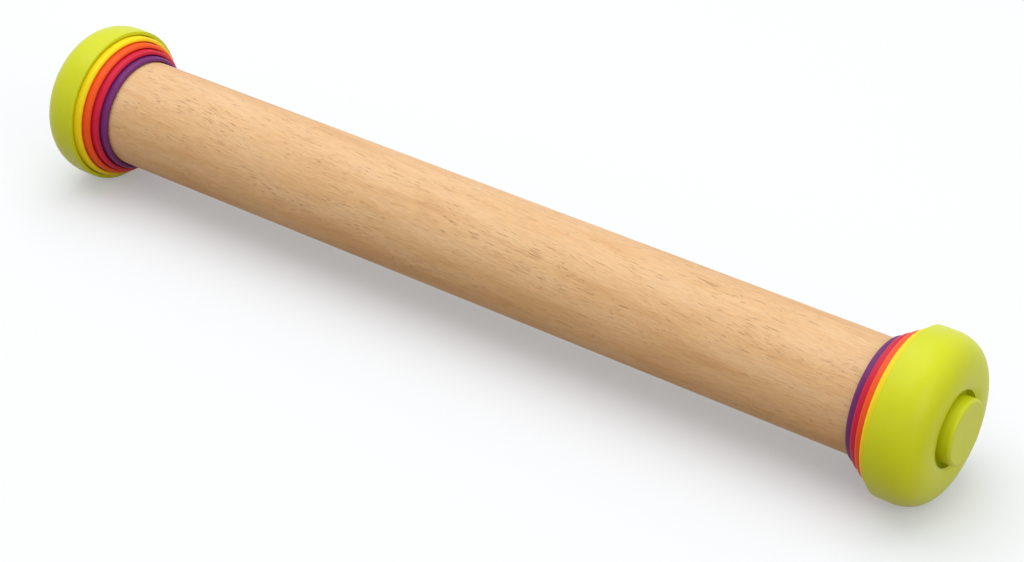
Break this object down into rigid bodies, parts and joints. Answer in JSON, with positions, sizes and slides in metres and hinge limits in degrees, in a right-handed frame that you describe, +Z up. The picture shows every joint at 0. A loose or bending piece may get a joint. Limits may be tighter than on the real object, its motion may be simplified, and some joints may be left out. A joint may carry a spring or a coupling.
{
  "type": "adjustable rolling pin",
  "caption": "Beech rolling pin with nested coloured spacer discs and rounded end caps that set the dough thickness, clamped by a screw knob at each end.",
  "frame": {"origin": "on the table, under the middle of the roller's axis", "axes": "+X along the pin's axis toward the right end, +Z up, +Y away from the cook"},
  "size_m": [0.415, 0.064, 0.064],
  "materials": {
    "beech": "sanded and lightly oiled",
    "purple_plastic": "satin moulded",
    "red_plastic": "satin moulded",
    "orange_plastic": "satin moulded",
    "yellow_plastic": "satin moulded",
    "green_plastic": "soft satin moulded",
    "white_nylon": "satin",
    "steel": "bright zinc plated",
    "brass": "turned"
  },
  "bodies": {
    "roller": {"roller": "beech", "threaded_insert_left": "brass", "threaded_insert_right": "brass"},
    "purple_disc_left": {"purple_disc_left": "purple_plastic"},
    "red_disc_left": {"red_disc_left": "red_plastic"},
    "orange_disc_left": {"orange_disc_left": "orange_plastic"},
    "yellow_disc_left": {"yellow_disc_left": "yellow_plastic"},
    "end_cap_left": {"end_cap_left": "green_plastic"},
    "thrust_washer_left": {"thrust_washer_left": "white_nylon"},
    "knob_left": {"clamp_knob_left": "green_plastic", "knob_stud_left": "steel"},
    "purple_disc_right": {"purple_disc_right": "purple_plastic"},
    "red_disc_right": {"red_disc_right": "red_plastic"},
    "orange_disc_right": {"orange_disc_right": "orange_plastic"},
    "yellow_disc_right": {"yellow_disc_right": "yellow_plastic"},
    "end_cap_right": {"end_cap_right": "green_plastic"},
    "thrust_washer_right": {"thrust_washer_right": "white_nylon"},
    "knob_right": {"clamp_knob_right": "green_plastic", "knob_stud_right": "steel"}
  },
  "joints": [
    {"name": "purple_disc_left_off", "type": "slide", "parent": "roller", "child": "purple_disc_left", "axis": [-1, 0, 0], "range_m": [0, 0.03]},
    {"name": "red_disc_left_off", "type": "slide", "parent": "purple_disc_left", "child": "red_disc_left", "axis": [-1, 0, 0], "range_m": [0, 0.03]},
    {"name": "orange_disc_left_off", "type": "slide", "parent": "red_disc_left", "child": "orange_disc_left", "axis": [-1, 0, 0], "range_m": [0, 0.03]},
    {"name": "yellow_disc_left_off", "type": "slide", "parent": "orange_disc_left", "child": "yellow_disc_left", "axis": [-1, 0, 0], "range_m": [0, 0.03]},
    {"name": "end_cap_left_off", "type": "slide", "parent": "yellow_disc_left", "child": "end_cap_left", "axis": [-1, 0, 0], "range_m": [0, 0.045]},
    {"name": "knob_left_travel", "type": "slide", "parent": "end_cap_left", "child": "thrust_washer_left", "axis": [-1, 0, 0], "range_m": [0, 0.01]},
    {"name": "knob_left_turn", "type": "hinge", "parent": "thrust_washer_left", "child": "knob_left", "pos_m": [-0.2, 0, 0.032], "axis": [-1, 0, 0], "range_deg": [0, 1200.1]},
    {"name": "purple_disc_right_off", "type": "slide", "parent": "roller", "child": "purple_disc_right", "axis": [1, 0, 0], "range_m": [0, 0.03]},
    {"name": "red_disc_right_off", "type": "slide", "parent": "purple_disc_right", "child": "red_disc_right", "axis": [1, 0, 0], "range_m": [0, 0.03]},
    {"name": "orange_disc_right_off", "type": "slide", "parent": "red_disc_right", "child": "orange_disc_right", "axis": [1, 0, 0], "range_m": [0, 0.03]},
    {"name": "yellow_disc_right_off", "type": "slide", "parent": "orange_disc_right", "child": "yellow_disc_right", "axis": [1, 0, 0], "range_m": [0, 0.03]},
    {"name": "end_cap_right_off", "type": "slide", "parent": "yellow_disc_right", "child": "end_cap_right", "axis": [1, 0, 0], "range_m": [0, 0.045]},
    {"name": "knob_right_travel", "type": "slide", "parent": "end_cap_right", "child": "thrust_washer_right", "axis": [1, 0, 0], "range_m": [0, 0.01]},
    {"name": "knob_right_turn", "type": "hinge", "parent": "thrust_washer_right", "child": "knob_right", "pos_m": [0.2, 0, 0.032], "axis": [1, 0, 0], "range_deg": [0, 1200.1]}
  ],
  "couplings": [
    {"joint": "knob_left_turn", "follows": "knob_left_travel", "rad_per_m": 2094.4},
    {"joint": "knob_right_turn", "follows": "knob_right_travel", "rad_per_m": 2094.4}
  ]
}
